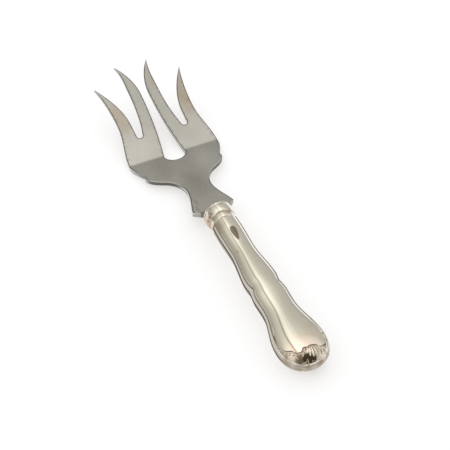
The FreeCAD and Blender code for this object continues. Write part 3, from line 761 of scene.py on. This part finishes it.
def build_handle_half(name, material, turned):
    """One hollow half: the outside, the plain inside, and the narrow faces that join them."""
    outside, dark, warm = handle_half_grid()
    if not turned:
        # The drop is a painted dark, warm reflection of a shallow dent on top near the collar
        drop = teardrop(outside[..., 0], outside[..., 1])
        dark, warm = np.maximum(dark, DROP_DARK * drop), np.maximum(warm, drop)
    outside[0] = [0, outside[0, :, 1].min(), 0]
    core_y = np.maximum(handle_rows(), CORE_TIP_Y)[:, None]
    inside = hull(np.linspace(math.pi, 0, CORE_COLUMNS)[None, :], core_y, SHELL_WALL)
    inside[0] = [0, CORE_TIP_Y, 0]
    dark, warm = (join(mask, np.zeros(inside.shape[:2]), axis=1) for mask in (dark, warm))
    loop = join(outside, inside, axis=1)
    if turned:
        loop = loop * np.array([-1, 1, -1])
    shape = Shape()
    shape.add_grid(loop, closed=True, dark=dark, warm=warm)
    shape.add_ngon(loop[-1])
    return shape.build(name, material)


print("one half of the handle has", (ROWS_END + ROWS_SHAFT) * (ANGLE_COLUMNS + CORE_COLUMNS), "points")

# %% [markdown]
# The collar was turned on a lathe, so it is a profile of radius against place, spun round the fork's
# axis.

# %% The collar
COLLAR_PROFILE = (
    (82.0, 5.3), (82.0, 5.92), (82.04, 5.95), (82.6, 5.99), (83.3, 6.04), (84.1, 6.08), (84.35, 6.12),
    (84.5, 6.2), (84.65, 6.33), (84.9, 6.48), (85.3, 6.61), (85.8, 6.72), (86.4, 6.80), (87.1, 6.84),
    (87.7, 6.84), (88.3, 6.80), (88.7, 6.72), (89.0, 6.60), (89.2, 6.58), (89.4, 6.66), (89.75, 6.72),
    (90.05, 6.66), (90.23, 6.54), (90.3, 6.38), (90.3, 5.5), (90.26, 5.35), (90.2, 5.3),
)
SPIN_STEPS = 192
BEAD_FOOT_Y, GROOVE_Y = 84.35, 89.15


def collar_shade(y):
    """Painted shade on the collar: brown in the step at the bead's foot, dark in the groove and on the front
    that faces the plate.
    """
    step = np.exp(-((y - BEAD_FOOT_Y) / 0.32) ** 2)
    groove = 0.4 * np.exp(-((y - GROOVE_Y) / 0.16) ** 2)
    return np.maximum.reduce([0.35 * step, groove, smooth(90.15, 90.28, y)]), step


def spun(profile):
    """Grid points of a profile of (place, radius) turned once about the fork's axis."""
    place, radius = np.array(profile).T[:, :, None]
    angle = np.linspace(0, 2 * math.pi, SPIN_STEPS, endpoint=False)[None, :]
    return np.stack([radius * np.cos(angle), place + 0 * angle, radius * np.sin(angle)], axis=-1)


def build_collar(material):
    shape = Shape()
    grid = spun(COLLAR_PROFILE + COLLAR_PROFILE[:1])
    # Painted shade in the collar's step, in its groove and on its front
    dark, warm = collar_shade(grid[..., 1])
    shape.add_grid(grid, closed=True, dark=dark, warm=warm)
    return shape.build("collar_ring", material)


print("the collar's widest radius is %.2f mm" % max(radius for place, radius in COLLAR_PROFILE))


# %% [markdown]
# Both metals show the same kinds of wear and painted light, so the patterns are node groups. Polish lines are
# noise that is stretched along one axis. A stain, or a patch of painted highlight or shade, is the distance
# from a place on the fork, ruffled by noise and turned into a soft-edged mask.

# %% Shared effects as node groups
def new_group(name, outputs, **inputs):
    """A node group with inputs given as names with defaults, and outputs that are all numbers."""
    group = bpy.data.node_groups.new(name, "ShaderNodeTree")
    for label, value in inputs.items():
        kind = "NodeSocketVector" if isinstance(value, tuple) else "NodeSocketFloat"
        group.interface.new_socket(name=label, in_out="INPUT", socket_type=kind).default_value = value
    for label in outputs:
        group.interface.new_socket(name=label, in_out="OUTPUT", socket_type="NodeSocketFloat")
    return group, group.nodes.new("NodeGroupInput").outputs, group.nodes.new("NodeGroupOutput").inputs


def feed(tree, value, socket):
    """Give a socket a plain value, or link another socket to it."""
    if isinstance(value, bpy.types.NodeSocket):
        tree.links.new(value, socket)
    else:
        socket.default_value = value


def math_node(tree, operation, *values, kind="Math"):
    """A Math node, or a Vector Math node, whose inputs are sockets or plain values."""
    node = tree.nodes.new("ShaderNode" + kind)
    node.operation = operation
    for socket, value in zip(node.inputs, values):
        feed(tree, value, socket)
    return next(socket for socket in node.outputs if socket.enabled)


def vector_node(tree, operation, *values):
    return math_node(tree, operation, *values, kind="VectorMath")


def add_node(tree, kind, group=None, **inputs):
    """A node, or a copy of a shared group, whose inputs are fed by name, an underscore for each space."""
    node = tree.nodes.new("ShaderNode" + kind)
    if group:
        node.node_tree = group
    for label, value in inputs.items():
        feed(tree, value, node.inputs[label.replace("_", " ")])
    return node


def noise_node(tree, vector, scale, detail=2.0, roughness=0.5):
    node = add_node(tree, "TexNoise", Vector=vector, Scale=scale, Detail=detail, Roughness=roughness)
    return node.outputs["Fac"]


def make_polish_group():
    group, given, result = new_group("polish_lines", ("Lines", "Haze"), Vector=(0, 0, 0), Stretch=(1, 1, 1))
    stretched = vector_node(group, "MULTIPLY", given["Vector"], given["Stretch"])
    feed(group, noise_node(group, stretched, 1.0, 4.0, 0.6), result["Lines"])
    feed(group, noise_node(group, given["Vector"], 90.0, 3.0), result["Haze"])
    return group


def make_stain_and_light_group():
    group, given, result = new_group("stain_and_light", ("Mask",), Vector=(0, 0, 0), Place=(0, 0, 0), Stretch=(1, 1, 1),
                                     Radius=0.005, Ruffle=0.4, Grain=250.0)
    away = vector_node(group, "SUBTRACT", given["Vector"], given["Place"])
    length = vector_node(group, "LENGTH", vector_node(group, "MULTIPLY", away, given["Stretch"]))
    share = math_node(group, "DIVIDE", length, given["Radius"])
    noise = noise_node(group, given["Vector"], given["Grain"])
    ruffle = math_node(group, "MULTIPLY", math_node(group, "SUBTRACT", noise, 0.5), given["Ruffle"])
    total = math_node(group, "ADD", share, math_node(group, "MULTIPLY", ruffle, 4.0))
    soft = add_node(group, "MapRange", Value=total, From_Min=1.0, From_Max=0.0)
    soft.interpolation_type = "SMOOTHSTEP"
    feed(group, soft.outputs["Result"], result["Mask"])
    return group


polish_group = make_polish_group()
stain_and_light_group = make_stain_and_light_group()
print("made the groups", polish_group.name, "and", stain_and_light_group.name)


# %% Helpers for the materials
def new_material(name):
    """A material with its Principled BSDF and the object's own coordinates."""
    material = bpy.data.materials.new(name)
    material.use_nodes = True
    tree = material.node_tree
    surface = next(node for node in tree.nodes if node.type == "BSDF_PRINCIPLED")
    place = tree.nodes.new("ShaderNodeTexCoord").outputs["Object"]
    return material, tree, surface, place


def blend_colour(tree, mask, below, above, strength=1.0, blend="MIX"):
    """Mix two colours, each a socket or a plain colour, by a mask times a strength."""
    node = tree.nodes.new("ShaderNodeMix")
    node.data_type = "RGBA"
    node.blend_type = blend
    feed(tree, math_node(tree, "MULTIPLY", mask, strength), node.inputs["Factor"])
    sockets = [socket for socket in node.inputs if socket.type == "RGBA"]
    for socket, value in zip(sockets, (below, above)):
        feed(tree, (*value, 1.0) if isinstance(value, tuple) else value, socket)
    return next(socket for socket in node.outputs if socket.type == "RGBA")


def spread(tree, value, low, high):
    """Carry a noise value, which keeps to 0.25..0.75, to low..high."""
    return add_node(tree, "MapRange", Value=value, From_Min=0.25, From_Max=0.75,
                    To_Min=low, To_Max=high).outputs["Result"]


def bumped(tree, surface, height, strength, distance):
    bump = add_node(tree, "Bump", Strength=strength, Distance=distance, Height=height)
    feed(tree, bump.outputs["Normal"], surface.inputs["Normal"])


def mesh_mask(tree, name):
    """A value that the mesh carries at its points: wear, painted shade and painted highlight."""
    node = tree.nodes.new("ShaderNodeAttribute")
    node.attribute_name = name
    return node.outputs["Fac"]


def fork_place(x, y, z):
    """A place in the fork's own axes, in millimetres, as Object coordinates."""
    return tuple(float(value) for value in to_frame((x, y, z)))


# %% [markdown]
# Both metals follow one recipe. The colour wanders a little with the haze of the polish. Over it come the
# stains and the patches of painted highlight and shade, each a soft patch about a place on the fork, and then
# the wear, painted shade and painted highlights that the mesh carries at its points. The polish lines vary
# the roughness and raise a very low bump.

# %% A worn and polished metal
def make_metal(name, colour, haze, lines, roughness, dark_roughness, stain_and_light_sets, wear_and_painted_light):
    """A stain-and-light set is (ruffle, grain, stretch, patches), each patch being a stain or a painted
    highlight or shade given as (place, radius, colour, strength), which may end with a stretch of its own,
    and wear_and_painted_light is a list of (mask, colour, strength)."""
    material, tree, surface, place = new_material(name)
    surface.inputs["Metallic"].default_value = 1.0
    polish = add_node(tree, "Group", polish_group, Vector=place, Stretch=lines)
    hazy = tuple(haze * value for value in colour)
    colour = blend_colour(tree, spread(tree, polish.outputs["Haze"], 0, 1), colour, hazy)
    for ruffle, grain, stretch, stains_and_lights in stain_and_light_sets:
        for where, radius, tint, strength, *own_stretch in stains_and_lights:
            stain_and_light = add_node(tree, "Group", stain_and_light_group, Vector=place, Place=fork_place(*where),
                             Radius=radius * MM, Stretch=(*own_stretch, stretch)[0], Ruffle=ruffle,
                             Grain=grain)
            colour = blend_colour(tree, stain_and_light.outputs["Mask"], colour, tint, strength)
    for mask, tint, strength in wear_and_painted_light:
        colour = blend_colour(tree, mesh_mask(tree, mask), colour, tint, strength)
    feed(tree, colour, surface.inputs["Base Color"])
    roughened = math_node(tree, "MULTIPLY", mesh_mask(tree, "dark"), dark_roughness)
    rubbed = spread(tree, polish.outputs["Lines"], *roughness)
    feed(tree, math_node(tree, "ADD", rubbed, roughened), surface.inputs["Roughness"])
    bumped(tree, surface, polish.outputs["Lines"], 0.02, 0.00002)
    return material


# %% [markdown]
# The head is stainless steel with a satin polish. It is greyer and blurrier than the silver, its outer tines
# have a brownish bloom, and there are small rust stains on them and on the neck. Its rims carry painted
# highlights on their walls and painted dark lines along their corners, and the plate carries painted shade
# where it enters the collar.

# %% Satin steel
STEEL = (0.545, 0.54, 0.525)
# The next colour is a painted highlight for the walls of the rims
WALL_HIGHLIGHT = (0.97, 0.96, 0.94)
TINE = (0.40, 0.395, 0.38)
CLEAN = (0.68, 0.67, 0.64)
BLOOM = (0.40, 0.335, 0.27)
DULL = (0.385, 0.375, 0.35)
RUST = (0.33, 0.25, 0.18)
# The next colour is painted shade for the rims' corners and for the plate by the collar
STEEL_SHADE = (0.10, 0.095, 0.085)
BLOOM_STRETCH, RUST_STRETCH, DRIP_STRETCH = (1.4, 0.8, 0.6), (1, 1, 0.3), (4, 1, 0.3)


def on_plate(x, y):
    """A place in the middle of the plate's thickness, from its place in plan."""
    return x, y, plate_height(y)


blooms = (
    (on_plate(0.0, 178), 60.0, TINE, 0.9),
    (on_plate(12.0, 128), 13.0, CLEAN, 0.55),
    (on_plate(17.5, 168), 13.0, BLOOM, 0.85),
    (on_plate(21.0, 178), 6.0, BLOOM, 0.5),
    (on_plate(-17.0, 166), 13.0, BLOOM, 0.65),
    (on_plate(8.0, 182), 8.0, BLOOM, 0.75),
    (on_plate(0.0, 112), 14.0, DULL, 0.8),
    (on_plate(-9.0, 129), 13.0, BLOOM, 0.3),
)
rust = (
    (on_plate(18.2, 165.5), 1.3, RUST, 0.5),
    (on_plate(16.6, 168.5), 0.8, RUST, 0.5),
    (on_plate(-19.0, 166.0), 0.7, RUST, 0.5),
    (on_plate(-5.8, 99.8), 4.0, RUST, 0.5, DRIP_STRETCH),
    (on_plate(-7.1, 95.4), 4.0, RUST, 0.5, DRIP_STRETCH),
)
steel = make_metal(
    "satin_steel", STEEL, haze=0.93, lines=(300, 1800, 1800), roughness=(0.22, 0.30), dark_roughness=0.0,
    stain_and_light_sets=((0.15, 120.0, BLOOM_STRETCH, blooms), (0.2, 700.0, RUST_STRETCH, rust)),
    # The bright mask is painted highlight on the rims, and the dark mask painted shade on the rims and by the
    # collar
    wear_and_painted_light=(("bright", WALL_HIGHLIGHT, 1.0), ("dark", STEEL_SHADE, 1.0)),
)
print("the steel has", len(blooms), "blooms and", len(rust), "spots of rust")

# %% [markdown]
# The handle is polished silver: pale, warm and almost a mirror, with fine rubbing marks along its length,
# brown tarnish where a cloth doesn't reach, round the collar's foot and in the hollows of the ornament,
# painted shade in the step at the collar's foot, in the grooves, along the seam and on the band round the
# end, painted pink and white highlights, and the painted dark reflection of a shallow drop-shaped dent on top
# near the collar. The collar's silver is duller.

# %% Polished silver
SILVER = (0.90, 0.87, 0.80)
TARNISH_AND_SHADE = (0.60, 0.45, 0.33)
# The next colour is a pink-white painted highlight
PINK_HIGHLIGHT = (0.99, 0.84, 0.73)
# The next colour is a brown painted shade
END_BAND_SHADE = (0.40, 0.32, 0.24)
YELLOW = (0.80, 0.74, 0.58)
SOOT_AND_SHADE = (0.075, 0.058, 0.038)
OLD_DIRT = (0.22, 0.17, 0.12)
BURNT = (0.25, 0.15, 0.08)
# The next colour is a painted white highlight
BEAD_HIGHLIGHT = (1.0, 0.97, 0.92)
ROUND = (1, 1, 1)


def on_handle(x, y):
    """A place on top of the handle, from its place in plan."""
    share = min(abs(x) / float(half_width(y)), 1.0)
    return x, y, float(half_depth(y)) * (1 - share ** SECTION_FULLNESS) ** (1 / SECTION_FULLNESS) + PANEL_RISE


def make_silver(name, roughness, stains_and_lights):
    """Silver about a middle roughness, and rougher where it is dark, in its tarnish and in its painted shade.
    """
    return make_metal(
        name, SILVER, haze=0.95, lines=(1500, 160, 1500), roughness=(0.7 * roughness, 1.3 * roughness),
        dark_roughness=0.3, stain_and_light_sets=((0.15, 500.0, ROUND, stains_and_lights),),
        # The warm mask is tarnish and painted shade, and the dark mask soot in the hollows and painted shade
        wear_and_painted_light=(("warm", TARNISH_AND_SHADE, 0.55), ("dark", SOOT_AND_SHADE, 1.0)),
    )


silver = make_silver("polished_silver", 0.06, (
    # Pink-white painted highlights on the end
    (on_handle(-2.0, 9.5), 8.5, PINK_HIGHLIGHT, 0.85, (0.75, 1.0, 0.8)),
    (on_handle(5.6, 15.9), 3.0, YELLOW, 0.5),
    (on_handle(2.0, 12.4), 0.55, TARNISH_AND_SHADE, 0.9),
    (on_handle(-0.2, 14.2), 0.6, TARNISH_AND_SHADE, 0.6),
    (on_handle(6.8, 8.8), 0.7, TARNISH_AND_SHADE, 0.6),
    # Brown painted shade on the band round the handle's end
    ((-9.6, 6.5, 1.2), 3.4, END_BAND_SHADE, 0.75),
    ((-6.8, 2.2, 1.2), 3.0, END_BAND_SHADE, 0.85),
    ((-2.8, 0.6, 1.2), 3.0, END_BAND_SHADE, 0.7),
    ((2.6, 0.5, 1.4), 3.2, END_BAND_SHADE, 0.85),
    ((7.4, 2.6, 1.2), 3.0, END_BAND_SHADE, 0.6),
    ((10.2, 8.6, 1.0), 4.0, END_BAND_SHADE, 0.6),
    (on_handle(-5.0, 79.0), 4.5, TARNISH_AND_SHADE, 0.7, (1.0, 0.7, 1.0)),
    (on_handle(-3.4, 62.4), 1.3, TARNISH_AND_SHADE, 0.8, (1.5, 1, 1)),
    # More pink-white painted highlights on the end
    (on_handle(3.0, 7.9), 1.4, PINK_HIGHLIGHT, 1.0),
    (on_handle(4.0, 11.0), 7.0, PINK_HIGHLIGHT, 0.45, (0.8, 1.1, 0.8)),
    (on_handle(-4.6, 3.4), 3.0, OLD_DIRT, 0.7),
))
ring_silver = make_silver("collar_silver", 0.17, (
    # A painted white highlight on the top of the collar's bead
    ((-2.6, 87.0, 6.3), 4.0, BEAD_HIGHLIGHT, 1.0),
    ((-6.4, 86.0, -0.5), 8.0, TARNISH_AND_SHADE, 0.9),
    ((-6.4, 85.4, 1.8), 1.6, BURNT, 0.9),
    ((-5.8, 85.9, 3.4), 1.6, BURNT, 0.8),
    ((-4.7, 86.2, 4.9), 0.9, BURNT, 0.8),
    ((2.9, 84.3, 5.5), 3.0, TARNISH_AND_SHADE, 0.6, (0.6, 1.6, 1.0)),
))
print("finishes:", steel.name, silver.name, ring_silver.name)

# %% [markdown]
# The filler is out of sight, so it keeps its solid and gets a rough, speckled cement. The cap with the
# slot for the tang keeps its solid too, in the collar's silver.

# %% Cement
CEMENT_DARK, CEMENT_PALE = (0.20, 0.15, 0.11), (0.33, 0.27, 0.21)


def make_cement():
    material, tree, surface, place = new_material("cement")
    grain = noise_node(tree, place, 900.0, 5.0)
    feed(tree, blend_colour(tree, grain, CEMENT_DARK, CEMENT_PALE), surface.inputs["Base Color"])
    surface.inputs["Roughness"].default_value = 0.9
    bumped(tree, surface, grain, 0.3, 0.0002)
    return material


def dress_node(node, material):
    """Give a CAD solid that stays in the scene its finish."""
    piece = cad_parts[node]
    piece.data.materials.clear()
    piece.data.materials.append(material)


dress_node("handle_filler", make_cement())
dress_node("collar_cap", ring_silver)

# %% Put the pieces together
head = build_head(steel)
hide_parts("fork_head")
front = build_handle_half("handle_front_shell", silver, turned=False)
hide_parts("handle_front")
back = build_handle_half("handle_back_shell", silver, turned=True)
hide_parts("handle_back")
ring = build_collar(ring_silver)
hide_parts("collar")

# %% [markdown]
# The fork lies on a white table in a white tent, and only its soft shadow shows on the table.
# Polished metal looks like what it mirrors, so for glossy rays the tent dims towards the far side, is
# warmer overhead, and has one seam with a bright panel beside it, which the handle shows as long
# lines.

# %% Floor
TABLE_REACH = 3.0
TABLE = (0.465, 0.50, 0.525)
TABLE_GLOW = (0.565, 0.53, 0.505)


def make_floor():
    mesh = bpy.data.meshes.new("table")
    corners = [(x * TABLE_REACH, y * TABLE_REACH, 0) for x, y in ((-1, -1), (1, -1), (1, 1), (-1, 1))]
    mesh.from_pydata(corners, [], [(0, 1, 2, 3)])
    floor = add_object("table", mesh)
    material, _, surface, _ = new_material("white_table")
    for label, value in (("Base Color", (*TABLE, 1)), ("Roughness", 1.0), ("Specular IOR Level", 0.0),
                         ("Emission Color", (*TABLE_GLOW, 1)), ("Emission Strength", 1.0)):
        surface.inputs[label].default_value = value
    mesh.materials.append(material)


make_floor()


# %% Tent
# Colours by height, 0 below and 1 overhead towards the handle's end
TENT_HEIGHTS = (
    (0.20, (0.30, 0.29, 0.26)), (0.48, (0.52, 0.50, 0.45)), (0.61, (0.55, 0.54, 0.47)),
    (0.65, (0.58, 0.57, 0.50)), (0.69, (0.68, 0.67, 0.60)), (0.73, (0.77, 0.75, 0.68)),
    (0.84, (0.93, 0.90, 0.83)), (0.90, (0.86, 0.80, 0.72)), (0.955, (0.42, 0.36, 0.29)),
)
# Strengths across, 0.25 at the left, 0.5 overhead and 0.75 at the right: the seam, then the bright panel
TENT_BANDS = (
    (0.20, (1.20, 1.18, 1.12)), (0.28, (0.86, 0.84, 0.80)), (0.35, (0.83, 0.82, 0.79)),
    (0.39, (0.97, 0.97, 0.95)), (0.435, (1.14, 1.14, 1.12)), (0.476, (1.16, 1.16, 1.14)),
    (0.481, (0.66, 0.64, 0.59)), (0.489, (0.64, 0.62, 0.57)), (0.496, (1.45, 1.45, 1.43)),
    (0.515, (1.65, 1.65, 1.62)), (0.530, (1.48, 1.48, 1.47)), (0.560, (1.08, 1.08, 1.09)),
    (0.600, (1.00, 1.00, 1.01)), (0.680, (1.00, 1.00, 1.02)), (0.780, (1.06, 1.06, 1.10)),
)
# The light for everything else, from the handle's end to the far end
TENT_LIGHT = ((0.0, (0.45, 0.45, 0.45)), (0.5, (1.0, 1.0, 1.0)), (1.0, (1.55, 1.55, 1.55)))


def ramp_node(tree, value, stops):
    """A colour ramp with stops given as (place, colour)."""
    node = add_node(tree, "ValToRGB", Fac=value)
    ramp = node.color_ramp
    while len(ramp.elements) < len(stops):
        ramp.elements.new(0.5)
    for element, (where, colour) in zip(ramp.elements, stops):
        element.position = where
        element.color = (*colour, 1)
    return node.outputs["Color"]


def half_up(tree, value):
    """Carry a value from -1..1 to 0..1."""
    return math_node(tree, "MULTIPLY", math_node(tree, "ADD", value, 1.0), 0.5)


def make_tent():
    world = bpy.data.worlds.new("tent")
    scene.world = world
    world.use_nodes = True
    tree = world.node_tree
    background = next(node for node in tree.nodes if node.type == "BACKGROUND")
    direction = tree.nodes.new("ShaderNodeTexCoord").outputs["Generated"]
    x, y, z = add_node(tree, "SeparateXYZ", Vector=direction).outputs
    leaning = math_node(tree, "MULTIPLY", y, 0.6)
    overhead = math_node(tree, "SUBTRACT", math_node(tree, "MULTIPLY", z, 0.8), leaning)
    heights = ramp_node(tree, half_up(tree, overhead), TENT_HEIGHTS)
    turn = math_node(tree, "DIVIDE", math_node(tree, "ARCTAN2", x, z), 2 * math.pi)
    bands = ramp_node(tree, math_node(tree, "ADD", turn, 0.5), TENT_BANDS)
    mirrored = blend_colour(tree, 1.0, heights, bands, blend="MULTIPLY")
    light = ramp_node(tree, half_up(tree, y), TENT_LIGHT)
    is_glossy = tree.nodes.new("ShaderNodeLightPath").outputs["Is Glossy Ray"]
    feed(tree, blend_colour(tree, is_glossy, light, mirrored), background.inputs["Color"])
    background.inputs["Strength"].default_value = 1.0


make_tent()
print("the fork lies in its tent")

# %% [markdown]
# The camera looks down on the fork from the handle's end and a little from the left, through a
# fairly long lens, so the fork runs up and to the left across the picture.

# %% Camera
CAMERA_PLACE = (-0.1152, -0.2597, 0.2963)
CAMERA_TARGET = (0.0027, -0.0099, 0.0)
LENS, SENSOR_WIDTH = 72, 36


def make_camera():
    data = bpy.data.cameras.new("camera")
    data.lens, data.sensor_width = LENS, SENSOR_WIDTH
    camera = add_object("camera", data)
    camera.location = CAMERA_PLACE
    look = Vector(CAMERA_TARGET) - Vector(CAMERA_PLACE)
    camera.rotation_euler = look.to_track_quat("-Z", "Y").to_euler()
    scene.camera = camera


make_camera()
scene.view_settings.view_transform = "Standard"
